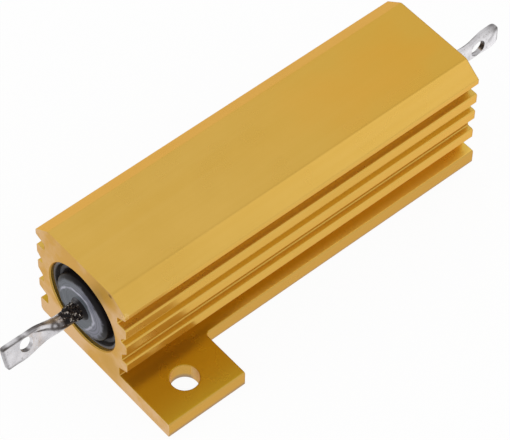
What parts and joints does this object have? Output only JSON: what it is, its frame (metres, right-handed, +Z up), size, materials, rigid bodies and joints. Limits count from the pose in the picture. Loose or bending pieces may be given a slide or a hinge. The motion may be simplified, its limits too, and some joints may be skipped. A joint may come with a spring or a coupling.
{
  "type": "wirewound power resistor",
  "caption": "Chassis-mount wirewound power resistor in a finned gold anodised aluminium housing with two diagonal fixing tabs and a pierced solder lug at each end.",
  "frame": {"origin": "centre of the mounting face, midway between the two ends of the housing", "axes": "+X along the leads, the front end of the record at -X; +Z up from the mounting face; the front tab is on the -Y side"},
  "size_m": [0.0708, 0.0288, 0.016],
  "materials": {
    "anodised_housing": "gold anodised, satin, extruded and saw cut",
    "moulding_compound": "dark grey, semi-gloss, moulded",
    "core_ceramic": "unglazed white",
    "resistance_alloy": "bare drawn ribbon",
    "cap_steel": "bare pressed steel",
    "tinned_lead": "tinned, bright, slightly uneven"
  },
  "bodies": {
    "root": {"housing": "anodised_housing", "moulding": "moulding_compound", "ceramic_core": "core_ceramic", "winding": "resistance_alloy", "end_cap_front": "cap_steel", "end_cap_rear": "cap_steel", "terminal_front": "tinned_lead", "terminal_rear": "tinned_lead"}
  },
  "joints": []
}
